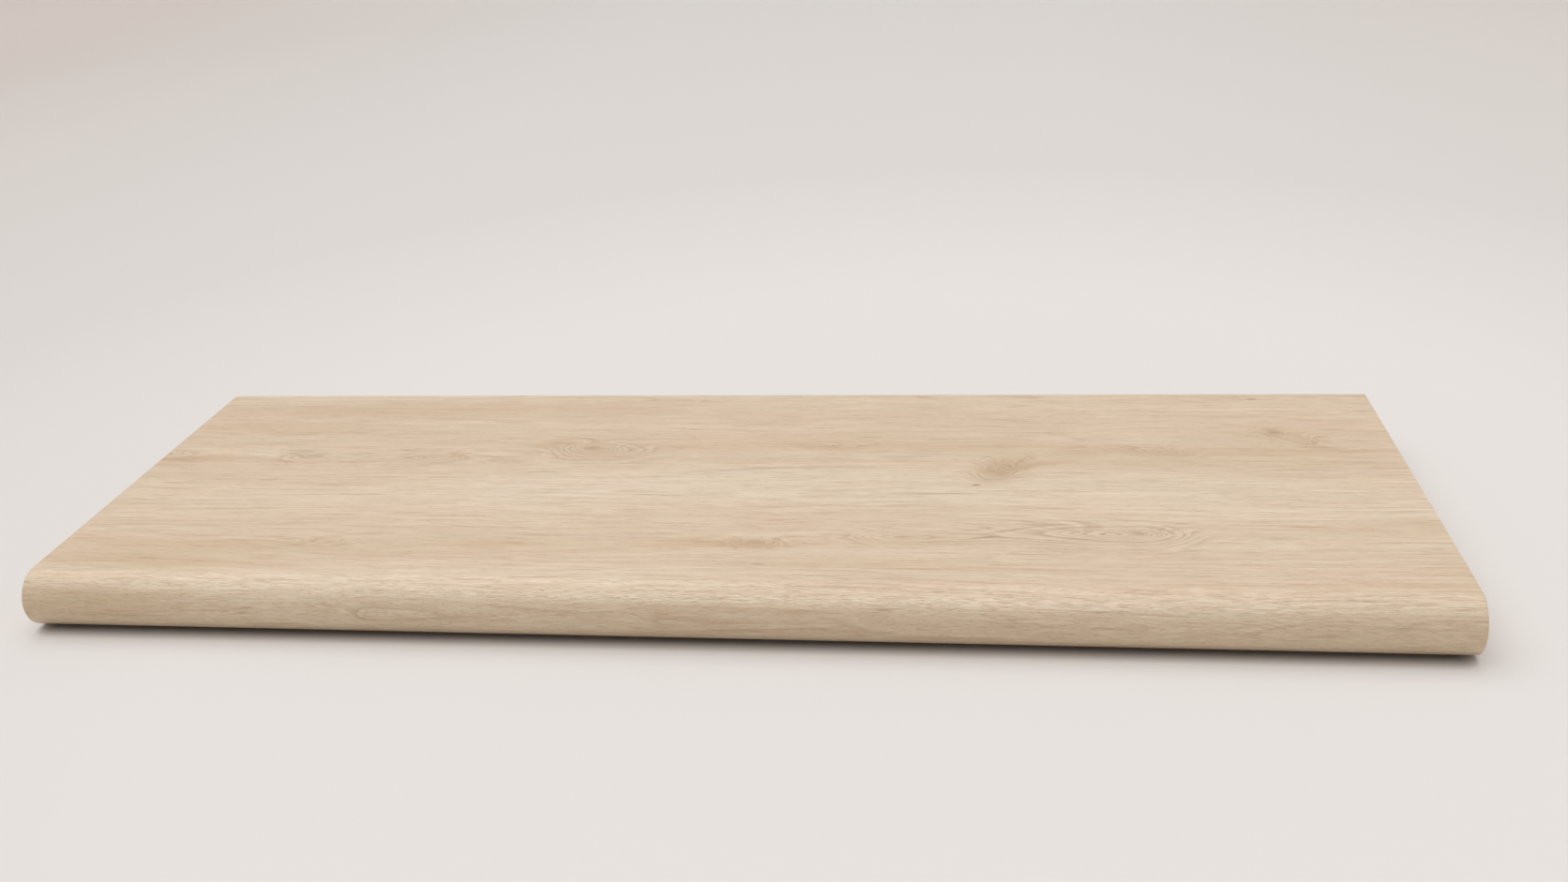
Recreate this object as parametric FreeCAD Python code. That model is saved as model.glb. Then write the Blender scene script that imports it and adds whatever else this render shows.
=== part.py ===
"""A straight stair tread: one solid board with a half-round nosing along its front edge.

The board lies flat. X runs along the nosing, from the left end to the right end. Y runs from the
nosing, at the front, to the square back edge that meets the riser above. Z is up. The origin is
the middle of the board's outline on its underside, so the board rests on Z = 0.

The underside and the walking face are flat and parallel. The nosing is a full half round, tangent
to both. The back edge and the two ends are cut square, and every square edge is eased.
"""

import os

import FreeCAD
import Part

# Driving sizes, in millimetres.
BOARD_LENGTH = 900.0  # along X, from one string of the stair to the other
BOARD_DEPTH = 305.0  # along Y, from the tip of the nosing to the back edge
BOARD_THICKNESS = 40.0  # along Z, from the underside to the walking face
EASED_EDGE_RADIUS = 1.0  # the small round that takes the sharpness off each square edge

# A full half round spans the whole thickness, so its radius follows from it.
NOSING_RADIUS = BOARD_THICKNESS / 2.0

# Where the faces lie.
LEFT_END = -BOARD_LENGTH / 2.0
RIGHT_END = BOARD_LENGTH / 2.0
NOSING_TIP = -BOARD_DEPTH / 2.0
BACK_EDGE = BOARD_DEPTH / 2.0
NOSING_START = NOSING_TIP + NOSING_RADIUS

# Two places that are nearer than this are the same place.
SAME_PLACE = 1e-4


def point_on_left_end(y, z):
    """A point of the cross-section, which is drawn on the plane of the left end."""
    return FreeCAD.Vector(LEFT_END, y, z)


def cross_section():
    """The closed outline of the board, seen along its length."""
    underside_back = point_on_left_end(BACK_EDGE, 0.0)
    underside_front = point_on_left_end(NOSING_START, 0.0)
    nosing_tip = point_on_left_end(NOSING_TIP, NOSING_RADIUS)
    top_front = point_on_left_end(NOSING_START, BOARD_THICKNESS)
    top_back = point_on_left_end(BACK_EDGE, BOARD_THICKNESS)
    edges = [
        Part.LineSegment(underside_back, underside_front).toShape(),
        Part.Arc(underside_front, nosing_tip, top_front).toShape(),
        Part.LineSegment(top_front, top_back).toShape(),
        Part.LineSegment(top_back, underside_back).toShape(),
    ]
    return Part.Wire(edges)


def lies_on_an_end(edge):
    """Whether the whole edge runs round one of the two end faces."""
    box = edge.BoundBox
    flat = box.XLength < SAME_PLACE
    return flat and min(abs(box.XMin - LEFT_END), abs(box.XMax - RIGHT_END)) < SAME_PLACE


def lies_on_the_back(edge):
    """Whether the whole edge lies in the back face."""
    return abs(edge.BoundBox.YMin - BACK_EDGE) < SAME_PLACE


def eased(board):
    """The board with its square edges rounded over. The nosing is tangent to its neighbours."""
    square_edges = [e for e in board.Edges if lies_on_an_end(e) or lies_on_the_back(e)]
    return board.makeFillet(EASED_EDGE_RADIUS, square_edges)


def tread_board():
    """The whole tread, as one closed solid."""
    face = Part.Face(cross_section())
    square_board = face.extrude(FreeCAD.Vector(BOARD_LENGTH, 0.0, 0.0))
    return eased(square_board)


def main():
    os.makedirs("parts", exist_ok=True)
    board = tread_board()
    board.exportStep("parts/tread_board.step")
    size = board.optimalBoundingBox()
    print(f"tread_board: valid {board.isValid()}, {len(board.Solids)} solid, {len(board.Faces)} faces")
    print(f"size {size.XLength:.2f} x {size.YLength:.2f} x {size.ZLength:.2f} mm")
    print(f"volume {board.Volume / 1e6:.4f} litres")


main()
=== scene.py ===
"""A straight stair tread of light oak, with a half-round nosing, lying on a pale studio floor.

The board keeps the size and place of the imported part. X runs along the nosing, Y from the nosing
to the back edge, and Z up. Every size here is in metres.
"""

import math
from typing import NamedTuple

import bmesh
import bpy
from mathutils import Matrix, Vector


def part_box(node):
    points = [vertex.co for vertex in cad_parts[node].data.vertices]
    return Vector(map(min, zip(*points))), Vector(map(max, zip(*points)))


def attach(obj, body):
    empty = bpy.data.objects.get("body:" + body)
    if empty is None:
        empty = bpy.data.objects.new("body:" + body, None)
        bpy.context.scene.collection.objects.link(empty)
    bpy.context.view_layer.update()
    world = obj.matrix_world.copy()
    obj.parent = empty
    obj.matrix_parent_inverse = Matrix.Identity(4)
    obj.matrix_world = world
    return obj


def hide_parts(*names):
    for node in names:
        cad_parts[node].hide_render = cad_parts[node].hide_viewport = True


bl_info = {
    "name": "Oak Stair Tread",
    "version": (1, 0, 0),
    "blender": (4, 5, 0),
    "location": "3D View > Sidebar > Stair Tread",
    "description": "Makes an oak stair tread with a half-round nosing, and a floor to show it on",
    "category": "Add Mesh",
}

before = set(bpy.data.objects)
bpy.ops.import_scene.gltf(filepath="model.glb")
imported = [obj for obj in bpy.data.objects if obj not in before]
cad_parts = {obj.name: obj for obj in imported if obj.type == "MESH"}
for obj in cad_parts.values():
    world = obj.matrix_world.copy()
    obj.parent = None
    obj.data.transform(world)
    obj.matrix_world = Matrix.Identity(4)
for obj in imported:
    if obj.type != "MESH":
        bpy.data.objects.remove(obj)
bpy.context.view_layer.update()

CAD_NODE = "tread_board"

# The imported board. Its round nosing is made of flats, so its tip falls a hair short of the true
# one, and the depth comes from the back edge, which is as far from the origin as the nosing is.
BOARD_LOW, BOARD_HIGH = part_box(CAD_NODE)
BOARD_LENGTH = BOARD_HIGH.x - BOARD_LOW.x
BOARD_DEPTH = 2.0 * BOARD_HIGH.y
BOARD_THICKNESS = BOARD_HIGH.z - BOARD_LOW.z


def shade(red, green, blue):
    """A screen colour, from 0 to 255, in the linear values that Blender mixes."""
    shares = [part / 255.0 for part in (red, green, blue)]
    # The curve of screen colours: straight near black, and a power above that.
    return tuple(s / 12.92 if s <= 0.04045 else ((s + 0.055) / 1.055) ** 2.4 for s in shares)


class BoardSizes(bpy.types.PropertyGroup):
    """The sizes of the board."""

    length: bpy.props.FloatProperty(
        name="Length",
        description="Along the nosing, from end to end",
        default=BOARD_LENGTH,
        min=0.1,
        unit="LENGTH",
    )
    depth: bpy.props.FloatProperty(
        name="Depth",
        description="From the tip of the nosing to the back edge",
        default=BOARD_DEPTH,
        min=0.1,
        unit="LENGTH",
    )
    thickness: bpy.props.FloatProperty(
        name="Thickness",
        description="From the underside to the walking face; the nosing's radius is half of it",
        default=BOARD_THICKNESS,
        min=0.01,
        unit="LENGTH",
    )
    eased_edge: bpy.props.FloatProperty(
        name="Eased edge",
        description="The radius that takes the sharpness off each square edge",
        default=0.001,
        min=0.0002,
        unit="LENGTH",
    )
    nosing_steps: bpy.props.IntProperty(
        name="Nosing steps",
        description="How many flats make up the half round",
        default=64,
        min=8,
    )
    edge_steps: bpy.props.IntProperty(
        name="Edge steps",
        description="How many flats make up each eased edge",
        default=4,
        min=1,
    )
    face_step: bpy.props.FloatProperty(
        name="Face step",
        description="The widest mesh face on the flat sides",
        default=0.03,
        min=0.005,
        unit="LENGTH",
    )


class OakFinish(bpy.types.PropertyGroup):
    """The colours of the oak, the size of its figure and the gloss of its lacquer."""

    pale_wood: bpy.props.FloatVectorProperty(
        name="Pale wood",
        description="The lightest streaks",
        subtype="COLOR",
        default=shade(240, 221, 198),
        min=0.0,
        max=1.0,
    )
    warm_wood: bpy.props.FloatVectorProperty(
        name="Warm wood",
        description="The darkest streaks",
        subtype="COLOR",
        default=shade(197, 159, 113),
        min=0.0,
        max=1.0,
    )
    rosy_wood: bpy.props.FloatVectorProperty(
        name="Rosy wood",
        description="The patches that lean to pink",
        subtype="COLOR",
        default=shade(219, 191, 159),
        min=0.0,
        max=1.0,
    )
    ring_wood: bpy.props.FloatVectorProperty(
        name="Ring wood",
        description="The dark end of each year",
        subtype="COLOR",
        default=shade(162, 122, 80),
        min=0.0,
        max=1.0,
    )
    line_wood: bpy.props.FloatVectorProperty(
        name="Line wood",
        description="The thin lines: fibres and pores",
        subtype="COLOR",
        default=shade(160, 115, 64),
        min=0.0,
        max=1.0,
    )
    sallow_wood: bpy.props.FloatVectorProperty(
        name="Sallow wood",
        description="The patches that lean to olive",
        subtype="COLOR",
        default=shade(211, 194, 158),
        min=0.0,
        max=1.0,
    )
    knot_wood: bpy.props.FloatVectorProperty(
        name="Knot wood",
        description="The hearts of the knots, and the flecks",
        subtype="COLOR",
        default=shade(130, 98, 66),
        min=0.0,
        max=1.0,
    )
    # Painted shade: the nosing's front is darkened and greyed towards this colour for the shade and
    # floor bounce on it.
    front_shade_wood: bpy.props.FloatVectorProperty(
        name="Front wood",
        description="What the nosing leans towards",
        subtype="COLOR",
        default=shade(186, 180, 156),
        min=0.0,
        max=1.0,
    )
    end_grain: bpy.props.FloatVectorProperty(
        name="End grain",
        description="What the sawn ends darken towards",
        subtype="COLOR",
        default=shade(176, 144, 108),
        min=0.0,
        max=1.0,
    )
    ring_width: bpy.props.FloatProperty(
        name="Ring width",
        description="The wood that one year adds",
        default=0.0026,
        min=0.0005,
        unit="LENGTH",
    )
    pith_depth: bpy.props.FloatProperty(
        name="Pith depth",
        description="How far under the board the middle of the log was",
        default=0.03,
        min=0.0,
        unit="LENGTH",
    )
    ring_swing: bpy.props.FloatProperty(
        name="Ring swing",
        description="How far the rings swing sideways between the heart lines",
        default=0.07,
        min=0.0,
        unit="LENGTH",
    )
    pore_depth: bpy.props.FloatProperty(
        name="Pore depth",
        description="How deep the open pores are",
        default=0.00008,
        min=0.0,
        unit="LENGTH",
    )
    roughness: bpy.props.FloatProperty(
        name="Roughness",
        description="The roughness of the satin lacquer between the pores",
        default=0.32,
        min=0.05,
        max=1.0,
        subtype="FACTOR",
    )
    gloss: bpy.props.FloatProperty(
        name="Gloss",
        description="How strongly the lacquer reflects; 0.5 is a plain varnish",
        default=1.0,
        min=0.0,
        max=1.0,
        subtype="FACTOR",
    )


class StudioSettings(bpy.types.PropertyGroup):
    """The floor, the light and the camera."""

    floor_colour: bpy.props.FloatVectorProperty(
        name="Floor colour",
        description="The floor round the board",
        subtype="COLOR",
        default=shade(228, 224, 221),
        min=0.0,
        max=1.0,
    )
    # The far and side colours are painted light falloff: the floor darkens away from the board in
    # its colour.
    painted_far_colour: bpy.props.FloatVectorProperty(
        name="Far colour",
        description="The floor far from the board",
        subtype="COLOR",
        default=shade(211, 207, 204),
        min=0.0,
        max=1.0,
    )
    painted_side_colour: bpy.props.FloatVectorProperty(
        name="Side colour",
        description="The floor far out to the left and the right of the board",
        subtype="COLOR",
        default=shade(204, 195, 189),
        min=0.0,
        max=1.0,
    )
    wall_colour: bpy.props.FloatVectorProperty(
        name="Wall colour",
        description="The wall, which gets less light than the floor",
        subtype="COLOR",
        default=shade(246, 243, 240),
        min=0.0,
        max=1.0,
    )
    # Painted shade: the floor under the board, and a hair round it, is painted dark as a contact
    # shadow.
    painted_contact_shade: bpy.props.FloatVectorProperty(
        name="Covered colour",
        description="The floor right under the board, which hardly any light reaches",
        subtype="COLOR",
        default=shade(136, 131, 128),
        min=0.0,
        max=1.0,
    )
    light_strength: bpy.props.FloatProperty(
        name="Light strength",
        description="The wide light over the board, in watts for each square metre",
        default=1.72,
        min=0.0,
    )
    light_width: bpy.props.FloatProperty(
        name="Light width",
        description="The angle that the wide light fills, seen from the board",
        default=math.radians(76.0),
        min=0.0,
        max=math.pi,
        subtype="ANGLE",
    )
    sheen_strength: bpy.props.FloatProperty(
        name="Sheen strength",
        description="The front light that only shows as a sheen, in watts for each square metre",
        default=0.56,
        min=0.0,
    )
    sheen_width: bpy.props.FloatProperty(
        name="Sheen width",
        description="The angle that the front light fills, seen from the board",
        default=math.radians(34.0),
        min=0.0,
        max=math.pi,
        subtype="ANGLE",
    )
    sky_strength: bpy.props.FloatProperty(
        name="Sky strength",
        description="The even light from all round",
        default=0.475,
        min=0.0,
    )
    lens: bpy.props.FloatProperty(
        name="Lens",
        description="The camera's focal length, in millimetres on a 36 mm wide sensor",
        default=33.09,
        min=10.0,
    )


# The board's mesh.


class Corner(NamedTuple):
    """One point of the board's cross-section, with the way that the surface faces there."""

    y: float
    z: float
    facing_y: float
    facing_z: float


def steps_between(start, end, widest):
    """Evenly spaced values from start up to, but not including, end."""
    count = max(1, math.ceil(abs(end - start) / widest))
    return [start + (end - start) * step / count for step in range(count)]


def arc_corners(centre_y, centre_z, radius, first, last, count):
    """Points round an arc, from the first angle up to, but not including, the last one."""
    corners = []
    for step in range(count):
        angle = first + (last - first) * step / count
        facing_y, facing_z = math.cos(angle), math.sin(angle)
        corners.append(
            Corner(centre_y + radius * facing_y, centre_z + radius * facing_z, facing_y, facing_z)
        )
    return corners


def cross_section(sizes):
    """The closed outline of the board: the underside, the nosing, the walking face and the back."""
    back = sizes.depth / 2.0
    top = sizes.thickness
    nosing = sizes.thickness / 2.0
    nosing_start = -back + nosing
    ease = sizes.eased_edge
    flat_end = back - ease
    widest = sizes.face_step
    quarter = math.pi / 2.0
    half_round = (-quarter, -3.0 * quarter)
    corners = [Corner(y, 0.0, 0.0, -1.0) for y in steps_between(flat_end, nosing_start, widest)]
    corners += arc_corners(nosing_start, nosing, nosing, *half_round, sizes.nosing_steps)
    corners += [Corner(y, top, 0.0, 1.0) for y in steps_between(nosing_start, flat_end, widest)]
    corners += arc_corners(flat_end, top - ease, ease, quarter, 0.0, sizes.edge_steps)
    corners += [Corner(back, z, 1.0, 0.0) for z in steps_between(top - ease, ease, widest)]
    corners += arc_corners(flat_end, ease, ease, 0.0, -quarter, sizes.edge_steps)
    return corners


class Station(NamedTuple):
    """One place along the board where the cross-section is drawn."""

    x: float
    inset: float
    facing_x: float
    facing_out: float


def stations_along(sizes):
    """The places along the board, from the left end to the right one, eased at both."""
    end = sizes.length / 2.0
    ease = sizes.eased_edge
    eased_end = []
    for step in range(sizes.edge_steps + 1):
        turn = math.pi / 2.0 * step / sizes.edge_steps
        facing_x, facing_out = math.cos(turn), math.sin(turn)
        eased_end.append(
            Station(end - ease * (1.0 - facing_x), ease * (1.0 - facing_out), facing_x, facing_out)
        )
    left = [Station(-s.x, s.inset, -s.facing_x, s.facing_out) for s in eased_end]
    middle = [
        Station(x, 0.0, 0.0, 1.0)
        for x in steps_between(-end + ease, end - ease, sizes.face_step)[1:]
    ]
    return left + middle + eased_end[::-1]


# The map that a baked copy of the board's look is laid on, as shares of its width and height. The
# long sides are one strip, in which those that lie hidden get less room, and the ends lie below it.
BAKE_MAP = "OFBake"
MAP_GAP = 0.006
END_STRIP = 0.060
HIDDEN_SHARE = 0.4


def shares_of_way(lengths, low, high):
    """Where the ends of these lengths lie, one after the other, between low and high."""
    whole = sum(lengths)
    walked = [sum(lengths[:count]) for count in range(len(lengths) + 1)]
    return [low + (high - low) * way / whole for way in walked]


def map_columns(stations):
    """How far right on the map each station lies."""
    lengths = [math.dist((s.x, s.inset), (t.x, t.inset)) for s, t in zip(stations, stations[1:])]
    return shares_of_way(lengths, MAP_GAP, 1.0 - MAP_GAP)


def lies_hidden(corner):
    """Whether a point of the outline lies on the underside or the back."""
    return corner.facing_z < -0.99 or corner.facing_y > 0.01


def map_rows(section):
    """How far up on the map each point of the outline lies, and then its first point once more."""
    lengths = []
    for here, after in zip(section, section[1:] + section[:1]):
        room = HIDDEN_SHARE if lies_hidden(here) else 1.0
        lengths.append(room * math.dist((here.y, here.z), (after.y, after.z)))
    return shares_of_way(lengths, END_STRIP + MAP_GAP, 1.0 - MAP_GAP)


def lay_end_on_map(face, bake_map, sizes, left, turn):
    """Lays an end on the map, from left on. turn is 1 for the end that faces right, else -1."""
    width = 0.5 - 1.5 * MAP_GAP
    for loop in face.loops:
        across = 0.5 + turn * loop.vert.co.y / sizes.depth
        up = loop.vert.co.z / sizes.thickness
        loop[bake_map].uv = (left + width * across, MAP_GAP + (END_STRIP - MAP_GAP) * up)


def board_mesh(sizes):
    """The board as one closed mesh, with the true direction of the surface at every point."""
    section = cross_section(sizes)
    stations = stations_along(sizes)
    shape = bmesh.new()
    bake_map = shape.loops.layers.uv.new(BAKE_MAP)
    rings = []
    facings = []
    for station in stations:
        ring = []
        for corner in section:
            y = corner.y - station.inset * corner.facing_y
            z = corner.z - station.inset * corner.facing_z
            ring.append(shape.verts.new((station.x, y, z)))
            facings.append(
                Vector(
                    (
                        station.facing_x,
                        station.facing_out * corner.facing_y,
                        station.facing_out * corner.facing_z,
                    )
                )
            )
        rings.append(ring)
    columns = map_columns(stations)
    rows = map_rows(section)
    for at, (ring, following) in enumerate(zip(rings, rings[1:])):
        for here in range(len(section)):
            after = (here + 1) % len(section)
            face = shape.faces.new((ring[here], following[here], following[after], ring[after]))
            corners = ((at, here), (at + 1, here), (at + 1, here + 1), (at, here + 1))
            for loop, (column, row) in zip(face.loops, corners):
                loop[bake_map].uv = (columns[column], rows[row])
    lay_end_on_map(shape.faces.new(rings[0]), bake_map, sizes, MAP_GAP, -1.0)
    lay_end_on_map(shape.faces.new(rings[-1][::-1]), bake_map, sizes, 0.5 + 0.5 * MAP_GAP, 1.0)
    mesh = bpy.data.meshes.new("oak_board")
    shape.to_mesh(mesh)
    shape.free()
    for face in mesh.polygons:
        face.use_smooth = True
    mesh.normals_split_custom_set_from_vertices(facings)
    return mesh


# The oak.


class Swirl(NamedTuple):
    """A knot or an arch, where the growth rings close up or bend.

    over is the distance over the surface from the tip of the nosing, towards the back edge.
    """

    x: float
    over: float
    half_length: float
    half_width: float
    rings: float  # how many rings lie round its middle
    slant: float = 0.0  # in degrees, towards the back as it runs right
    drawn_out: float = 0.0  # how much further it runs to the left than to the right
    tone: float = 0.1  # how much warmer the wood is there
    heart: float = 0.0  # how dark its heart is


KNOTS_AND_ARCHES = (
    # The eye left of the middle, with its heart.
    Swirl(-0.1185, 0.2150, 0.064, 0.0320, 10.0, -3.0, -0.30, 0.00),
    Swirl(-0.1170, 0.2150, 0.024, 0.0120, 3.0, 0.0, 0.0, 0.26, 0.00),
    Swirl(-0.1190, 0.2160, 0.011, 0.0060, 0.8, 0.0, 0.0, 0.12, 0.46),
    # The smudged knot right of the middle.
    Swirl(0.1790, 0.1840, 0.040, 0.0260, 11.0, 50.0, 0.0, 0.00, 0.12),
    Swirl(0.1890, 0.1885, 0.015, 0.0085, 2.6, -25.0),
    Swirl(0.1700, 0.1810, 0.013, 0.0080, 2.2, 15.0),
    Swirl(0.1800, 0.1760, 0.010, 0.0065, 1.5, 20.0, 0.0, 0.10, 0.22),
    # The small dark knot near the right end, and the arch under it.
    Swirl(0.3725, 0.2460, 0.014, 0.0105, 2.5, -10.0, 0.0, 0.10, 0.36),
    Swirl(0.3860, 0.2330, 0.045, 0.0180, 7.0, -30.0, 0.0, 0.02),
    # The knot at the head of the long front arch.
    Swirl(0.0250, 0.0760, 0.030, 0.0150, 7.0, 0.0, 0.1, 0.06, 0.20),
    # The nested arch near the front, with its heart.
    Swirl(0.2640, 0.0925, 0.088, 0.0310, 11.0, 0.0, 0.48, -0.10),
    Swirl(0.2650, 0.0945, 0.013, 0.0060, 1.0, -12.0, 0.0, 0.22, 0.34),
    Swirl(0.1150, 0.0855, 0.075, 0.0200, 7.0, 0.0, -0.3, 0.06),
    # The small arches of the back half.
    Swirl(0.2980, 0.2120, 0.040, 0.0150, 6.0, -12.0, 0.4, 0.10, 0.06),
    Swirl(-0.2300, 0.1990, 0.042, 0.0160, 5.0, 0.0, 0.35, 0.02),
    Swirl(-0.3350, 0.1990, 0.090, 0.0220, 5.0, 0.0, -0.70, -0.04),
    Swirl(-0.4550, 0.2040, 0.060, 0.0160, 6.0, 0.0, 0.0, -0.04),
    Swirl(0.0700, 0.2210, 0.050, 0.0110, 4.0, 8.0, 0.0, 0.08),
    Swirl(-0.0700, 0.3060, 0.070, 0.0110, 4.0, 0.0, 0.0, 0.25),
    Swirl(0.1200, 0.3110, 0.055, 0.0090, 2.0, 0.0, 0.0, 0.20),
    Swirl(-0.2600, 0.0704, 0.038, 0.0110, 5.0, 0.0, 0.3, 0.12),
    # The arches of the nosing.
    Swirl(-0.2120, 0.0010, 0.100, 0.0330, 5.6, 0.0, -0.65, 0.03),
    Swirl(-0.0220, 0.0000, 0.110, 0.0330, 4.2, 0.0, -0.80, 0.03),
    Swirl(0.3500, -0.0010, 0.090, 0.0300, 3.5, 0.0, -0.75, 0.04),
    Swirl(0.2575, 0.0034, 0.014, 0.0050, 1.5, -15.0, 0.0, 0.15, 0.07),
)


class Streak(NamedTuple):
    """A stretch of the surface that is warmer or paler than the rest."""

    x: float
    over: float
    half_length: float
    half_width: float
    tone: float  # how much warmer it is; below 0 it is paler
    slant: float = 0.0  # in degrees, towards the back as it runs right


STREAKS = (
    # Broad bands, from the back edge to the nosing.
    Streak(0.1650, 0.2914, 0.230, 0.024, -0.12),
    Streak(-0.2250, 0.2864, 0.200, 0.020, 0.18),
    Streak(-0.1000, 0.2900, 0.400, 0.030, 0.12),
    Streak(-0.4000, 0.2614, 0.200, 0.060, 0.20),
    Streak(0.4000, 0.2314, 0.120, 0.055, 0.16),
    Streak(0.0750, 0.2274, 0.200, 0.019, 0.20),
    Streak(0.3000, 0.2139, 0.160, 0.020, 0.18),
    Streak(-0.3700, 0.1964, 0.180, 0.018, 0.16),
    Streak(0.1250, 0.1439, 0.620, 0.055, -0.28),
    Streak(-0.1100, 0.1439, 0.190, 0.038, -0.12),
    Streak(-0.3350, 0.1239, 0.230, 0.030, -0.10),
    Streak(0.1250, 0.0889, 0.230, 0.024, -0.02),
    Streak(0.2300, 0.0880, 0.150, 0.028, -0.14),
    Streak(0.3750, 0.0764, 0.160, 0.023, -0.04),
    Streak(-0.2850, 0.0664, 0.270, 0.022, 0.24),
    Streak(-0.3850, 0.0424, 0.150, 0.014, 0.34),
    Streak(-0.3920, 0.0060, 0.100, 0.016, 0.50),
    # A painted highlight: a pale streak the whole length of the nosing's top, where the lacquer's
    # sheen falls.
    Streak(0.0500, 0.0320, 0.700, 0.012, -0.09),
    # Warm wood round the knots.
    Streak(-0.1480, 0.2260, 0.024, 0.0110, 0.50, 12.0),
    Streak(-0.2160, 0.2030, 0.018, 0.0090, 0.45, -20.0),
    Streak(-0.4250, 0.1960, 0.060, 0.0110, 0.45, 10.0),
    Streak(-0.3800, 0.2070, 0.070, 0.0080, -0.40, 5.0),
    Streak(0.1800, 0.1850, 0.036, 0.0240, 0.46, 45.0),
    Streak(0.2180, 0.1990, 0.044, 0.0100, 0.22, 22.0),
    Streak(0.3760, 0.2440, 0.036, 0.0190, 0.16, -20.0),
    Streak(-0.0050, 0.0760, 0.062, 0.0085, 0.36),
    Streak(0.0240, 0.0760, 0.022, 0.0110, 0.12),
    Streak(-0.1550, 0.0704, 0.045, 0.0060, 0.32),
)

# Small dark marks. Here the tone is how dark each one is.
FLECKS = (
    # The long hairline in the middle, in three runs.
    Streak(-0.0200, 0.1800, 0.052, 0.0012, 0.34, 8.0),
    Streak(0.0350, 0.1858, 0.060, 0.0013, 0.42, 3.0),
    Streak(0.0900, 0.1872, 0.060, 0.0012, 0.30, -1.0),
    # Short dark pores and specks.
    Streak(-0.3475, 0.1609, 0.0130, 0.0012, 0.45),
    Streak(-0.1450, 0.1769, 0.0190, 0.0013, 0.45, 2.0),
    Streak(0.1630, 0.1599, 0.0042, 0.0024, 0.75, 20.0),
    Streak(0.3660, 0.3064, 0.0060, 0.0020, 0.60),
    Streak(0.0850, 0.2364, 0.0140, 0.0015, 0.40),
    Streak(0.0290, 0.0489, 0.0060, 0.0017, 0.45),
    Streak(0.2915, 0.1864, 0.0070, 0.0015, 0.40),
    Streak(0.1100, 0.0104, 0.0075, 0.0011, 0.50),
)

# How far into the wood a swirl or streak reaches, in board thicknesses: down from the walking
# face, and back from the nosing.
REACH_DOWN = 2.5
REACH_BACK = 1.0

# The power that turns the round ends of a drawn-out swirl into points; 1 leaves them round.
POINTEDNESS = 0.85

# How much plainer the rings show for each ring of a knot or an arch.
FIGURE_PER_RING = 0.13

# The rings lie flattest along two lines of the walking face, this far back and this far apart.
FIRST_HEART_LINE = 0.040
HEART_LINE_SPACING = 0.120

# Where a swirl lifts the rings by this much or more, they leave the heart lines and go this share
# of the way to lying level.
FULL_LIFT = 0.007
LEVEL_SHARE = 0.85

# How unsteadily the rings run: in plain wood, and in a swirl whose figure is at least this.
PLAIN_TREMBLE = 0.0018
SWIRL_TREMBLE = 0.0007
SWIRL_FIGURE = 0.3

# The years differ in width: how quickly that changes from year to year, and by how much.
GOOD_YEARS_PACE = 0.45
GOOD_YEARS_SWING = 0.9

# The wood darkens through its year with this power, and turns pale again from this share of it.
DARKENING = 2.4
YEAR_END = 0.86

# How the grain wanders: the rough length and width of a bend, and how far it goes.
LONG_BENDS = ((0.30, 0.08, 0.08), (0.0, 0.018, 0.018))
RIPPLES = ((0.040, 0.010, 0.010), (0.0, 0.0026, 0.0026))
SWIRL_BENDS = ((0.060, 0.040, 0.040), (0.0, 0.0030, 0.0030))
SHIVERS = ((0.011, 0.0036, 0.0036), (0.0, 0.0017, 0.0017))
SHIVERS_ON_TOP = 0.45  # the share of the shivers that is left on the walking face

# The rough length and width of one blob of each noise in the wood.
TREMBLE_BLOB = (0.010, 0.0026, 0.0026)
BAND_BLOB = (0.42, 0.024, 0.024)
STRIP_BLOB = (0.16, 0.0045, 0.0045)
TINT_BLOB = (0.13, 0.026, 0.026)
UNEVEN_BLOB = (0.030, 0.006, 0.006)
THREAD_BLOB = (0.080, 0.0010, 0.0010)
HAIR_BLOB = (0.16, 0.0017, 0.0017)
VEIN_BLOB = (0.19, 0.0036, 0.0036)
FURROW_BLOB = (0.013, 0.0012, 0.0012)
PORE_BLOB = (0.0075, 0.00065, 0.00065)

# How warm the wood is, from 0 for the pale wood to 1 for the warm: what all of it gets, what the
# bands and the strips add or take, and what the nosing gets on top, which is painted shade that
# darkens its front.
MIDDLE_WARMTH = 0.26
BAND_WARMTH = 0.75
STRIP_WARMTH = 0.30
FRONT_SHADE_WARMTH = 0.06

# The pink and the olive patches: their share of the colour, from where to where their noise turns
# from olive to pink, and how far the nosing shifts it towards olive, as painted shade for the
# greyer light on its front.
TINT_SHARE = 0.26
TINT_TURN = (0.35, 0.65)
FRONT_SHADE_SHIFT = -0.12

# How much the nosing leans towards its painted front shade, a darker and greyer colour for the
# shade on its front.
FRONT_SHADE_SHARE = 0.22

# How strongly the ends of the years are drawn: in plain wood, in a swirl whose figure is at
# least this, and the share of it that is left on the nosing.
PLAIN_RINGS = 0.20
SWIRL_RINGS = 0.98
DRAWN_FIGURE = 0.45
FRONT_RINGS = 0.72

# Rings and veins are drawn unevenly: from where to where their noise turns from weak to strong,
# and how weak and how strong that is.
UNEVEN_TURN = (0.3, 0.7)
UNEVEN_SHARES = (0.4, 1.2)

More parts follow.
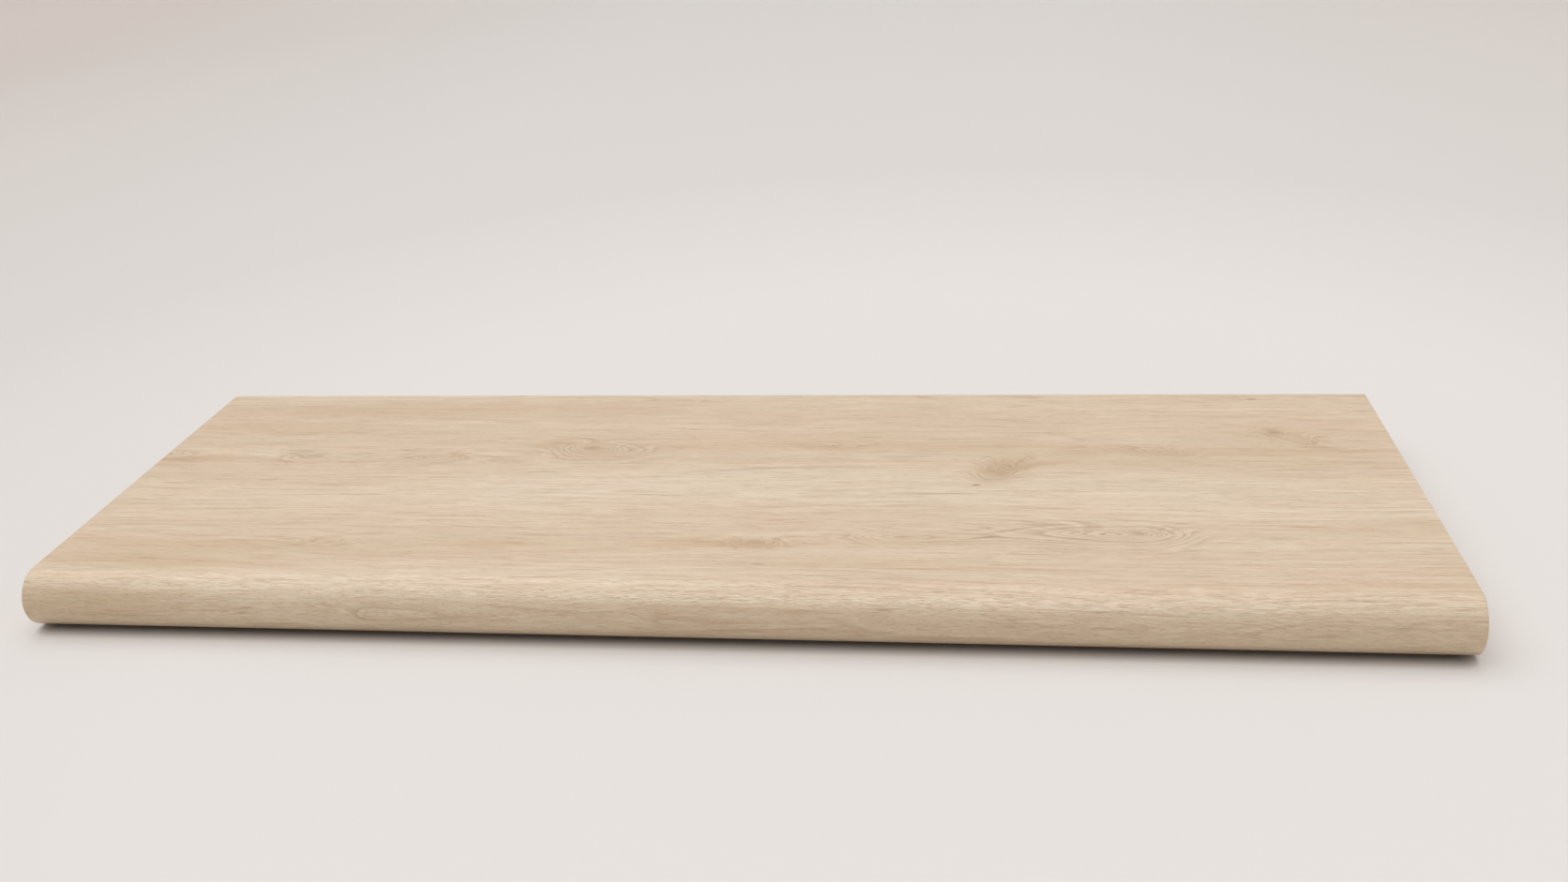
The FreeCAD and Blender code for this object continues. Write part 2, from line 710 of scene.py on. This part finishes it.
# How strongly each kind of thin line is drawn, and from where to where its noise makes one, or
# how thick it is as a share of the noise. The middle is what all of the wood gets.
LINE_MIDDLE = 0.045
PLAIN_THREADS = 1.25
SWIRL_THREADS = 0.90
FRONT_THREADS = -0.40  # what the nosing adds to the threads
HAIR_STRENGTH = 0.22
HAIR_TURN = (0.62, 0.76)
PORE_STRENGTH = 0.16
PORE_TURN = (0.56, 0.70)
TOP_FURROWS = 0.11
FRONT_FURROWS = 0.26
FURROW_THICKNESS = 0.065
VEIN_STRENGTH = 0.18
VEIN_THICKNESS = 0.035

# The sawn ends: how far the surface has to face sideways, and how much the spring wood and the
# latewood darken there.
END_TURN = (0.6, 0.95)
END_SHARE = 0.30
END_LATEWOOD = 0.50

# How much rougher than elsewhere the lacquer is over the pores, the latewood and the sawn ends.
PORE_ROUGHNESS = 0.22
LATEWOOD_ROUGHNESS = -0.05
END_ROUGHNESS = 0.18

# From where to where the nosing's look, its painted front shade and its finer grain, fades into the
# rest, in thicknesses from the tip.
FRONT_FADE = (0.05, 0.35)


def round_reach(sizes):
    """The distance over the surface from the tip of the nosing to the walking face."""
    return sizes.thickness / 2.0 * math.pi / 2.0


def surface_point(sizes, x, over):
    """The point of the board that lies at x, and at this distance over the surface from the tip."""
    nosing = sizes.thickness / 2.0
    tip = -sizes.depth / 2.0
    round_part = round_reach(sizes)
    if over > round_part:
        return Vector((x, tip + nosing + over - round_part, sizes.thickness))
    angle = over / nosing
    return Vector((x, tip + nosing - nosing * math.cos(angle), nosing + nosing * math.sin(angle)))


def on_nosing(sizes, mark):
    """Whether a swirl or streak lies on the half round."""
    return mark.over < round_reach(sizes)


def front_strip(sizes):
    """From where to where across the board the nosing's look, its painted shade and finer grain,
    fades into the rest.
    """
    tip = -sizes.depth / 2.0
    return [tip + share * sizes.thickness for share in FRONT_FADE]


class Recipe:
    """Adds nodes to a tree, one for each call, and gives back what comes out of them."""

    def __init__(self, tree):
        self.tree = tree

    def node(self, kind, **settings):
        """A node of this kind, with its settings."""
        made = self.tree.nodes.new(kind)
        for name, value in settings.items():
            setattr(made, name, value)
        return made

    def feed(self, socket, value):
        """Links an output to the socket, or writes a plain value on it."""
        if isinstance(value, bpy.types.NodeSocket):
            self.tree.links.new(value, socket)
        elif value is not None:
            socket.default_value = value

    def math(self, operation, *values, clamp=False):
        """A sum of plain numbers."""
        made = self.node("ShaderNodeMath", operation=operation, use_clamp=clamp)
        for socket, value in zip(made.inputs, values):
            self.feed(socket, value)
        return made.outputs[0]

    def vector(self, operation, *values):
        """A sum of vectors. A length or a distance comes out as a number."""
        made = self.node("ShaderNodeVectorMath", operation=operation)
        for socket, value in zip(made.inputs, values):
            self.feed(socket, value)
        return made.outputs["Value" if operation in ("LENGTH", "DISTANCE") else "Vector"]

    def parts(self, vector):
        """The x, y and z of a vector."""
        made = self.node("ShaderNodeSeparateXYZ")
        self.feed(made.inputs[0], vector)
        return made.outputs[0], made.outputs[1], made.outputs[2]

    def joined(self, x, y, z):
        """A vector of these three."""
        made = self.node("ShaderNodeCombineXYZ")
        for socket, value in zip(made.inputs, (x, y, z)):
            self.feed(socket, value)
        return made.outputs[0]

    def noise(self, point, cell, detail=2.0, roughness=0.5, colour=False):
        """Soft noise from 0 to 1. cell is the rough size of one blob along x, y and z."""
        made = self.node("ShaderNodeTexNoise")
        self.feed(made.inputs["Vector"], self.vector("DIVIDE", point, cell))
        made.inputs["Scale"].default_value = 1.0
        made.inputs["Detail"].default_value = detail
        made.inputs["Roughness"].default_value = roughness
        return made.outputs["Color" if colour else "Fac"]

    def wander(self, point, cell, reach):
        """A soft random shift, up to about half the reach each way."""
        noise = self.noise(point, cell, detail=1.0, colour=True)
        shift = self.vector("SUBTRACT", noise, (0.5, 0.5, 0.5))
        return self.vector("MULTIPLY", shift, reach)

    def local(self, point, centre, reach, turn):
        """The place of a point, counted from the centre in reaches, which are turned about Z."""
        moved = self.node("ShaderNodeMapping", vector_type="TEXTURE")
        self.feed(moved.inputs["Vector"], point)
        self.feed(moved.inputs["Location"], centre)
        self.feed(moved.inputs["Rotation"], (0.0, 0.0, turn))
        self.feed(moved.inputs["Scale"], reach)
        return moved.outputs[0]

    def ball(self, local, shape):
        """1 at the centre, falling to 0 at one reach away: in a cone, or to a sharper point."""
        made = self.node("ShaderNodeTexGradient", gradient_type=shape)
        self.feed(made.inputs[0], local)
        return made.outputs["Fac"]

    def spread(self, value, low, high, to_low=0.0, to_high=1.0, smooth=False):
        """Stretches the values from low to high over the other two, and holds them there."""
        kind = "SMOOTHSTEP" if smooth else "LINEAR"
        made = self.node("ShaderNodeMapRange", interpolation_type=kind)
        for name, number in (
            ("Value", value),
            ("From Min", low),
            ("From Max", high),
            ("To Min", to_low),
            ("To Max", to_high),
        ):
            self.feed(made.inputs[name], number)
        return made.outputs["Result"]

    def lean(self, value, strength, total):
        """Adds to the total what a noise strays from its middle, times the strength."""
        strayed = self.math("SUBTRACT", value, 0.5)
        return self.math("MULTIPLY_ADD", strayed, strength, total)

    def blend(self, share, first, second):
        """A colour between two others."""
        made = self.node("ShaderNodeMix", data_type="RGBA")
        self.feed(made.inputs[0], share)
        for socket, colour in ((made.inputs[6], first), (made.inputs[7], second)):
            plain = not isinstance(colour, bpy.types.NodeSocket)
            self.feed(socket, (*colour, 1.0) if plain else colour)
        return made.outputs[2]


def mark_place(recipe, sizes, point, mark):
    """The point as counted from the middle of a swirl or streak, in its reaches."""
    centre = surface_point(sizes, mark.x, mark.over)
    if on_nosing(sizes, mark):
        reach = Vector((mark.half_length, REACH_BACK * sizes.thickness, mark.half_width))
    else:
        reach = Vector((mark.half_length, mark.half_width, REACH_DOWN * sizes.thickness))
    return recipe.local(point, centre, reach, math.radians(mark.slant))


def swirl_nearness(recipe, sizes, point, swirl):
    """How near a point is to a swirl's middle, from 0 to 1. A drawn-out one has pointed ends."""
    local = mark_place(recipe, sizes, point, swirl)
    if swirl.drawn_out:
        along, *away = recipe.parts(local)
        stretch = recipe.math("ABSOLUTE", along)
        along = recipe.math("MULTIPLY_ADD", stretch, swirl.drawn_out, along)
        across = 1 if on_nosing(sizes, swirl) else 0
        away[across] = recipe.math("POWER", recipe.math("ABSOLUTE", away[across]), POINTEDNESS)
        local = recipe.joined(along, *away)
    return recipe.ball(local, "QUADRATIC_SPHERE")


def add_streaks(recipe, sizes, point, streaks, total):
    """Adds each streak's tone to the total."""
    for streak in streaks:
        near = recipe.ball(mark_place(recipe, sizes, point, streak), "SPHERICAL")
        total = recipe.math("MULTIPLY_ADD", near, streak.tone, total)
    return total


class Swirled(NamedTuple):
    """What the knots and arches do to the wood at a point."""

    lift_back: object  # how far they lift the rings on the walking face
    lift_front: object  # how far they lift the rings on the nosing
    tone: object  # how much warmer they make it
    figure: object  # how plainly the rings show
    hearts: object  # how dark their hearts make it


def add_swirls(recipe, sizes, finish, point):
    """Adds up the knots and arches."""
    back = front = tone = figure = hearts = 0.0
    for swirl in KNOTS_AND_ARCHES:
        near = swirl_nearness(recipe, sizes, point, swirl)
        rise = swirl.rings * finish.ring_width
        if on_nosing(sizes, swirl):
            front = recipe.math("MULTIPLY_ADD", near, rise, front)
        else:
            back = recipe.math("MULTIPLY_ADD", near, rise, back)
        tone = recipe.math("MULTIPLY_ADD", near, swirl.tone, tone)
        figure = recipe.math("MULTIPLY_ADD", near, swirl.rings * FIGURE_PER_RING, figure)
        if swirl.heart:
            hearts = recipe.math("MULTIPLY_ADD", near, swirl.heart, hearts)
    return Swirled(back, front, tone, figure, hearts)


def ring_distance(recipe, sizes, finish, point, swirled):
    """How far the wood at a point grew from the pith, with two heart lines under the board."""
    _, across, height = recipe.parts(point)
    turn = math.pi / HEART_LINE_SPACING
    swing = recipe.math("SINE", recipe.math("MULTIPLY_ADD", across, turn, -FIRST_HEART_LINE * turn))
    sideways = recipe.math("MULTIPLY", swing, finish.ring_swing)
    depth = recipe.math("ADD", height, finish.pith_depth)
    grown = recipe.vector("LENGTH", recipe.joined(0.0, sideways, depth))
    # Round a knot the rings lie level, and rise to its middle.
    level = finish.pith_depth + sizes.thickness
    lift = recipe.math("ADD", swirled.lift_back, swirled.lift_front)
    held = recipe.math("MULTIPLY", recipe.spread(lift, 0.0, FULL_LIFT), LEVEL_SHARE)
    grown = recipe.math("MULTIPLY_ADD", recipe.math("SUBTRACT", level, grown), held, grown)
    tremble = recipe.noise(point, TREMBLE_BLOB, detail=1.0)
    unsteady = recipe.spread(swirled.figure, 0.0, SWIRL_FIGURE, PLAIN_TREMBLE, SWIRL_TREMBLE)
    return recipe.lean(tremble, unsteady, recipe.math("ADD", grown, lift))


def season_of(recipe, finish, grown):
    """Where in its year the wood at a point grew, from 0 in spring to 1 at the end of autumn."""
    years = recipe.math("DIVIDE", grown, finish.ring_width)
    good_years = recipe.node("ShaderNodeTexNoise", noise_dimensions="1D")
    good_years.inputs["Scale"].default_value = GOOD_YEARS_PACE
    good_years.inputs["Detail"].default_value = 1.0
    recipe.feed(good_years.inputs["W"], years)
    shifted = recipe.math("MULTIPLY_ADD", good_years.outputs["Fac"], GOOD_YEARS_SWING, years)
    return recipe.math("FRACT", shifted)


def latewood_of(recipe, finish, grown):
    """How dark the wood is for its time of year."""
    season = season_of(recipe, finish, grown)
    latewood = recipe.math("POWER", season, DARKENING)
    return recipe.math("MULTIPLY", latewood, recipe.spread(season, YEAR_END, 1.0, 1.0, 0.0))


class Wood(NamedTuple):
    """The wood at a point: where it lies, and how its grain runs there."""

    place: object
    rippled: object  # the place, shifted by the ripples of the grain
    fibres: object  # the place, shifted as the fibres run
    swirled: Swirled
    latewood: object
    on_front: object  # 1 on the nosing and 0 on the rest


def wood_at(recipe, sizes, finish, place):
    """How the grain runs at a point of the board."""
    rippled = recipe.vector("ADD", place, recipe.wander(place, *RIPPLES))
    wandering = recipe.vector("ADD", rippled, recipe.wander(place, *LONG_BENDS))
    # The swirls only get wide bends: in ripples, their rings would break up into beads.
    swirl_place = recipe.vector("ADD", place, recipe.wander(place, *SWIRL_BENDS))
    swirled = add_swirls(recipe, sizes, finish, swirl_place)
    grown = ring_distance(recipe, sizes, finish, wandering, swirled)
    latewood = latewood_of(recipe, finish, grown)
    # The fibres bend round the knots with the rings.
    bend = recipe.joined(0.0, swirled.lift_back, swirled.lift_front)
    fibres = recipe.vector("ADD", wandering, bend)
    on_front = recipe.spread(recipe.parts(place)[1], *front_strip(sizes), 1.0, 0.0)
    return Wood(place, rippled, fibres, swirled, latewood, on_front)


def plain_wood(recipe, sizes, finish, wood):
    """The colour under the rings and lines: warm and pale, in bands, strips and streaks, with
    painted shade on the nosing.
    """
    bands = recipe.noise(wood.fibres, BAND_BLOB)
    strips = recipe.noise(wood.fibres, STRIP_BLOB)
    warmth = add_streaks(recipe, sizes, wood.rippled, STREAKS, wood.swirled.tone)
    warmth = recipe.lean(bands, BAND_WARMTH, warmth)
    warmth = recipe.lean(strips, STRIP_WARMTH, warmth)
    # Painted shade: the nosing's front is made warmer, so darker.
    warmth = recipe.math("MULTIPLY_ADD", wood.on_front, FRONT_SHADE_WARMTH, warmth)
    warmth = recipe.math("ADD", warmth, MIDDLE_WARMTH, clamp=True)
    colour = recipe.blend(warmth, finish.pale_wood, finish.warm_wood)
    rosy = recipe.noise(wood.place, TINT_BLOB, detail=3.0)
    # Painted shade: the nosing's tint shifts towards olive for the greyer light on its front.
    rosy = recipe.math("MULTIPLY_ADD", wood.on_front, FRONT_SHADE_SHIFT, rosy)
    tint = recipe.blend(recipe.spread(rosy, *TINT_TURN), finish.sallow_wood, finish.rosy_wood)
    colour = recipe.blend(TINT_SHARE, colour, tint)
    # Painted shade: the nosing leans towards a darker, greyer colour for the shade and bounce light
    # on its front.
    painted_front_share = recipe.math("MULTIPLY", wood.on_front, FRONT_SHADE_SHARE)
    return recipe.blend(painted_front_share, colour, finish.front_shade_wood)


def year_ends(recipe, wood, uneven):
    """How dark the ends of the years are drawn, which show most round the knots."""
    drawn = recipe.spread(wood.swirled.figure, 0.0, DRAWN_FIGURE, PLAIN_RINGS, SWIRL_RINGS)
    front_rings = recipe.spread(wood.on_front, 0.0, 1.0, 1.0, FRONT_RINGS)
    drawn = recipe.math("MULTIPLY", drawn, front_rings)
    return recipe.math("MULTIPLY", wood.latewood, recipe.math("MULTIPLY", drawn, uneven))


def fine_lines(recipe, point, blob, thickness):
    """Thin lines that run along the grain and fork: the contour lines of a drawn-out noise."""
    noise = recipe.noise(point, blob, detail=1.0)
    strayed = recipe.math("ABSOLUTE", recipe.math("SUBTRACT", noise, 0.5))
    return recipe.spread(strayed, 0.0, thickness, 1.0, 0.0)


def pores_and_furrows(recipe, wood):
    """Short open pores, and fine furrows. Both shiver, and most so on the nosing."""
    shiver = recipe.wander(wood.place, *SHIVERS)
    calmer = recipe.spread(wood.on_front, 0.0, 1.0, SHIVERS_ON_TOP, 1.0)
    shiver = recipe.vector("MULTIPLY", shiver, recipe.joined(0.0, calmer, calmer))
    shivering = recipe.vector("ADD", wood.place, shiver)
    pores = recipe.spread(recipe.noise(shivering, PORE_BLOB, detail=1.0), *PORE_TURN)
    return pores, fine_lines(recipe, shivering, FURROW_BLOB, FURROW_THICKNESS)


def thin_lines(recipe, wood, uneven, pores, furrows):
    """How dark the thin lines are: threads, dark hairs, veins, pores and furrows."""
    threads = recipe.noise(wood.fibres, THREAD_BLOB, roughness=0.65)
    hairs = recipe.spread(recipe.noise(wood.fibres, HAIR_BLOB, detail=1.0), *HAIR_TURN)
    veins = fine_lines(recipe, wood.fibres, VEIN_BLOB, VEIN_THICKNESS)
    figure = wood.swirled.figure
    thready = recipe.spread(figure, 0.0, SWIRL_FIGURE, PLAIN_THREADS, SWIRL_THREADS)
    thready = recipe.math("MULTIPLY_ADD", wood.on_front, FRONT_THREADS, thready)
    furrowed = recipe.spread(wood.on_front, 0.0, 1.0, TOP_FURROWS, FRONT_FURROWS)
    veined = recipe.math("MULTIPLY", uneven, VEIN_STRENGTH)
    lines = recipe.lean(threads, thready, LINE_MIDDLE)
    lines = recipe.math("MULTIPLY_ADD", hairs, HAIR_STRENGTH, lines)
    lines = recipe.math("MULTIPLY_ADD", pores, PORE_STRENGTH, lines)
    lines = recipe.math("MULTIPLY_ADD", furrows, furrowed, lines)
    return recipe.math("MULTIPLY_ADD", veins, veined, lines, clamp=True)


def lacquered(recipe, finish, colour, pores, furrows, latewood, on_end):
    """The satin lacquer over the wood, which sinks into the pores."""
    rough = recipe.math("MULTIPLY_ADD", pores, PORE_ROUGHNESS, finish.roughness)
    rough = recipe.math("MULTIPLY_ADD", latewood, LATEWOOD_ROUGHNESS, rough)
    rough = recipe.math("MULTIPLY_ADD", on_end, END_ROUGHNESS, rough, clamp=True)
    relief = recipe.math("ADD", pores, furrows)
    bump = recipe.node("ShaderNodeBump", invert=True)
    bump.inputs["Distance"].default_value = finish.pore_depth
    recipe.feed(bump.inputs["Height"], relief)
    surface = recipe.node("ShaderNodeBsdfPrincipled")
    recipe.feed(surface.inputs["Base Color"], colour)
    recipe.feed(surface.inputs["Roughness"], rough)
    surface.inputs["Specular IOR Level"].default_value = finish.gloss
    recipe.feed(surface.inputs["Normal"], bump.outputs["Normal"])
    output = recipe.node("ShaderNodeOutputMaterial")
    recipe.feed(output.inputs["Surface"], surface.outputs[0])


def oak_material(sizes, finish):
    """Light oak under a satin lacquer, as solid wood that shows its own grain on every face."""
    material = bpy.data.materials.new("light_oak_satin")
    material.use_nodes = True
    material.node_tree.nodes.clear()
    recipe = Recipe(material.node_tree)
    coordinates = recipe.node("ShaderNodeTexCoord")
    wood = wood_at(recipe, sizes, finish, coordinates.outputs["Object"])
    colour = plain_wood(recipe, sizes, finish, wood)
    patches = recipe.noise(wood.fibres, UNEVEN_BLOB, detail=1.0)
    uneven = recipe.spread(patches, *UNEVEN_TURN, *UNEVEN_SHARES)
    colour = recipe.blend(year_ends(recipe, wood, uneven), colour, finish.ring_wood)
    pores, furrows = pores_and_furrows(recipe, wood)
    lines = thin_lines(recipe, wood, uneven, pores, furrows)
    colour = recipe.blend(lines, colour, finish.line_wood)
    flecks = add_streaks(recipe, sizes, wood.rippled, FLECKS, wood.swirled.hearts)
    colour = recipe.blend(recipe.math("MINIMUM", flecks, 1.0), colour, finish.knot_wood)

    # The sawn ends drink more lacquer, so they are darker.
    facing_x = recipe.parts(coordinates.outputs["Normal"])[0]
    on_end = recipe.spread(recipe.math("ABSOLUTE", facing_x), *END_TURN)
    dusk = recipe.math("MULTIPLY_ADD", wood.latewood, END_LATEWOOD, END_SHARE)
    colour = recipe.blend(recipe.math("MULTIPLY", dusk, on_end), colour, finish.end_grain)

    lacquered(recipe, finish, colour, pores, furrows, wood.latewood, on_end)
    return material


class TREAD_OT_oak_board(bpy.types.Operator):
    """Make the oak board of the tread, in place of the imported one"""

    bl_idname = "tread.oak_board"
    bl_label = "Oak Board"

    def execute(self, context):
        """Builds the mesh and its oak, and puts the board on the part's root."""
        sizes = context.scene.tread_board_sizes
        board = bpy.data.objects.new("oak_board", board_mesh(sizes))
        context.scene.collection.objects.link(board)
        board.data.materials.append(oak_material(sizes, context.scene.tread_oak_finish))
        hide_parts(CAD_NODE)
        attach(board, "root")
        return {"FINISHED"}


# The studio.

# The rings of the flat floor, its radius, the bend that joins it to the wall and the wall's
# height, in metres; and how many flats make up the bend and the whole round.
FLOOR_RINGS = (1.0, 2.0, 3.0, 3.8)
FLOOR_RADIUS = 4.5
COVE_RADIUS = 2.0
WALL_HEIGHT = 2.6
COVE_STEPS = 24
ROUND_STEPS = 96

# The painted shade under the board fades over a strip of the first width, which reaches out past
# the board's outline by the second, so a thin painted contact shadow shows round it.
PAINTED_SHADE_FADE = 0.014
PAINTED_SHADE_RIM = 0.002

# Painted light falloff: the floor's colour dims with the distance from its brightest spot, quickly
# at first and then slowly: from where to where, and from which share of the far colour to which.
BRIGHTEST_SPOT = (0.12, 0.0, 0.0)
NEAR_DIMMING = (0.50, 1.00, 0.0, 0.60)
FAR_DIMMING = (0.95, 2.90, 0.0, 0.42)

# Painted shade to the sides: the far colour turns into the darker side colour to the left and the
# right of a line from front to back: where that line is, and from where to where beside it the
# colour turns.
EVEN_MIDDLE = -0.15
SIDE_TURN = (0.45, 1.90)

# From which height to which the wall's own colour takes over.
WALL_TURN = (0.01, 0.60)

# The paper: the rough size and the height of its relief, and how matt it is.
PAPER_BLOB = (0.012, 0.012, 0.012)
PAPER_RELIEF = 0.0001
PAPER_ROUGHNESS = 0.9
PAPER_GLOSS = 0.1

# The way to the middle of the wide light, from the board.
LIGHT_DIRECTION = (-0.20, 0.045, 1.0)

# The way to the middle of the light that only the lacquer shows, as a sheen along the nosing.
SHEEN_DIRECTION = (-0.10, -0.74, 1.0)

# The even light from all round is a little warm.
SKY_COLOUR = (1.0, 0.99, 0.98, 1.0)

# Where the photographer stood, in metres, and the way the camera was turned, in degrees.
CAMERA_PLACE = (0.1709, -0.8840, 0.4825)
CAMERA_YAW = -8.87
CAMERA_PITCH = -24.71
CAMERA_ROLL = -3.58
SENSOR_WIDTH = 36.0  # in millimetres


def cove_outline():
    """The floor's outline from its middle outwards: flat, then turning up into the wall."""
    outline = [(radius, 0.0) for radius in FLOOR_RINGS]
    for step in range(COVE_STEPS + 1):
        turn = math.pi / 2.0 * step / COVE_STEPS
        radius = FLOOR_RADIUS + COVE_RADIUS * math.sin(turn)
        outline.append((radius, COVE_RADIUS * (1.0 - math.cos(turn))))
    outline.append((FLOOR_RADIUS + COVE_RADIUS, WALL_HEIGHT))
    return outline


def cove_mesh():
    """A round floor that turns up into a wall on every side, so that no view shows an edge."""
    shape = bmesh.new()
    middle = shape.verts.new((0.0, 0.0, 0.0))
    rings = []
    for radius, height in cove_outline():
        ring = []
        for step in range(ROUND_STEPS):
            angle = 2.0 * math.pi * step / ROUND_STEPS
            x, y = radius * math.cos(angle), radius * math.sin(angle)
            ring.append(shape.verts.new((x, y, height)))
        rings.append(ring)
    for here in range(ROUND_STEPS):
        after = (here + 1) % ROUND_STEPS
        shape.faces.new((middle, rings[0][here], rings[0][after]))
        for ring, following in zip(rings, rings[1:]):
            shape.faces.new((ring[here], following[here], following[after], ring[after]))
    mesh = bpy.data.meshes.new("studio_floor")
    shape.to_mesh(mesh)
    shape.free()
    for face in mesh.polygons:
        face.use_smooth = True
    return mesh


def painted_shade_under_board(recipe, place):
    """How deep under the board a point of the floor lies, as the mask of the painted shade there: 1
    beneath it, and 0 round about.
    """
    inset = PAINTED_SHADE_FADE - PAINTED_SHADE_RIM
    outline = (BOARD_LENGTH / 2.0 - inset, BOARD_DEPTH / 2.0 - inset, 1.0)
    beyond = recipe.vector("SUBTRACT", recipe.vector("ABSOLUTE", place), outline)
    beyond = recipe.vector("MAXIMUM", beyond, (0.0, 0.0, 0.0))
    return recipe.spread(recipe.vector("LENGTH", beyond), 0.0, PAINTED_SHADE_FADE, 1.0, 0.0)


def floor_material(studio):
    """Pale matt paper, whose colour carries painted light falloff, dimming a little far from the
    board and more so to its sides, and painted shade under the board.
    """
    material = bpy.data.materials.new("pale_studio_paper")
    material.use_nodes = True
    material.node_tree.nodes.clear()
    recipe = Recipe(material.node_tree)
    place = recipe.node("ShaderNodeTexCoord").outputs["Object"]
    # Painted light falloff: the floor's colour dims away from its brightest spot and towards the
    # sides.
    distance = recipe.vector("DISTANCE", place, BRIGHTEST_SPOT)
    near_dim = recipe.spread(distance, *NEAR_DIMMING)
    far_dim = recipe.spread(distance, *FAR_DIMMING)
    along, _, height = recipe.parts(place)
    aside = recipe.math("ABSOLUTE", recipe.math("SUBTRACT", along, EVEN_MIDDLE))
    to_side = recipe.spread(aside, *SIDE_TURN)
    painted_far_colour = recipe.blend(to_side, studio.painted_far_colour, studio.painted_side_colour)
    dim = recipe.math("ADD", near_dim, far_dim)
    colour = recipe.blend(dim, studio.floor_colour, painted_far_colour)
    colour = recipe.blend(recipe.spread(height, *WALL_TURN), colour, studio.wall_colour)
    # Painted shade: the floor under the board, and just past its outline, turns dark as a painted
    # contact shadow.
    colour = recipe.blend(painted_shade_under_board(recipe, place), colour, studio.painted_contact_shade)
    fibre = recipe.noise(place, PAPER_BLOB, detail=3.0, roughness=0.6)
    bump = recipe.node("ShaderNodeBump")
    bump.inputs["Distance"].default_value = PAPER_RELIEF
    recipe.feed(bump.inputs["Height"], fibre)
    surface = recipe.node("ShaderNodeBsdfPrincipled")
    recipe.feed(surface.inputs["Base Color"], colour)
    recipe.feed(surface.inputs["Normal"], bump.outputs["Normal"])
    surface.inputs["Roughness"].default_value = PAPER_ROUGHNESS
    surface.inputs["Specular IOR Level"].default_value = PAPER_GLOSS
    output = recipe.node("ShaderNodeOutputMaterial")
    recipe.feed(output.inputs["Surface"], surface.outputs[0])
    return material


def far_light(name, strength, width, direction):
    """A wide light so far away that it is the same at every point."""
    lamp = bpy.data.lights.new(name, "SUN")
    lamp.energy = strength
    lamp.angle = width
    holder = bpy.data.objects.new(name, lamp)
    bpy.context.scene.collection.objects.link(holder)
    holder.rotation_euler = Vector(direction).to_track_quat("Z", "Y").to_euler()
    return holder


def soft_lights(studio):
    """One very wide light over the board, and one in front that only gives the nosing its sheen."""
    far_light("overhead_soft_light", studio.light_strength, studio.light_width, LIGHT_DIRECTION)
    sheen = far_light(
        "front_sheen_light", studio.sheen_strength, studio.sheen_width, SHEEN_DIRECTION
    )
    sheen.visible_diffuse = False


def even_sky(studio):
    """Plain light from all round."""
    world = bpy.data.worlds.new("even_sky")
    world.use_nodes = True
    background = world.node_tree.nodes["Background"]
    background.inputs["Color"].default_value = SKY_COLOUR
    background.inputs["Strength"].default_value = studio.sky_strength
    bpy.context.scene.world = world


def studio_camera(studio):
    """The camera, at the photograph's viewing angle."""
    camera = bpy.data.cameras.new("studio_camera")
    camera.sensor_width = SENSOR_WIDTH
    camera.lens = studio.lens
    camera.clip_start = 0.01
    holder = bpy.data.objects.new("studio_camera", camera)
    bpy.context.scene.collection.objects.link(holder)
    level = math.pi / 2.0
    turned = Matrix.Rotation(math.radians(-CAMERA_YAW), 4, "Z")
    turned = turned @ Matrix.Rotation(level + math.radians(CAMERA_PITCH), 4, "X")
    turned = turned @ Matrix.Rotation(math.radians(CAMERA_ROLL), 4, "Z")
    holder.matrix_world = Matrix.Translation(CAMERA_PLACE) @ turned
    bpy.context.scene.camera = holder


class TREAD_OT_studio(bpy.types.Operator):
    """Make the pale floor, the soft light and the camera"""

    bl_idname = "tread.studio"
    bl_label = "Studio"

    def execute(self, context):
        """Builds the stage round the board."""
        studio = context.scene.tread_studio
        floor = bpy.data.objects.new("studio_floor", cove_mesh())
        context.scene.collection.objects.link(floor)
        floor.data.materials.append(floor_material(studio))
        even_sky(studio)
        soft_lights(studio)
        studio_camera(studio)
        context.scene.view_settings.view_transform = "Standard"
        return {"FINISHED"}


class TREAD_PT_panel(bpy.types.Panel):
    """The tread's settings and its makers, in the sidebar"""

    bl_label = "Stair Tread"
    bl_idname = "TREAD_PT_panel"
    bl_space_type = "VIEW_3D"
    bl_region_type = "UI"
    bl_category = "Stair Tread"

    def draw(self, context):
        """Lists each group of settings over the button that uses it."""
        layout = self.layout
        scene = context.scene
        for heading, groups, maker in (
            ("Oak board", (scene.tread_board_sizes, scene.tread_oak_finish), "tread.oak_board"),
            ("Studio", (scene.tread_studio,), "tread.studio"),
        ):
            column = layout.column(align=True)
            column.label(text=heading)
            for group in groups:
                for name in group.__annotations__:
                    column.prop(group, name)
            column.operator(maker)


CLASSES = (
    BoardSizes,
    OakFinish,
    StudioSettings,
    TREAD_OT_oak_board,
    TREAD_OT_studio,
    TREAD_PT_panel,
)


def register():
    """Makes the classes known and hangs their settings on the scene."""
    for each in CLASSES:
        bpy.utils.register_class(each)
    bpy.types.Scene.tread_board_sizes = bpy.props.PointerProperty(type=BoardSizes)
    bpy.types.Scene.tread_oak_finish = bpy.props.PointerProperty(type=OakFinish)
    bpy.types.Scene.tread_studio = bpy.props.PointerProperty(type=StudioSettings)


def unregister():
    """Takes the settings and the classes away again."""
    del bpy.types.Scene.tread_studio
    del bpy.types.Scene.tread_oak_finish
    del bpy.types.Scene.tread_board_sizes
    for each in reversed(CLASSES):
        bpy.utils.unregister_class(each)


def main():
    """Makes the tread and its studio."""
    register()
    bpy.ops.tread.oak_board()
    bpy.ops.tread.studio()


if __name__ == "__main__":
    main()
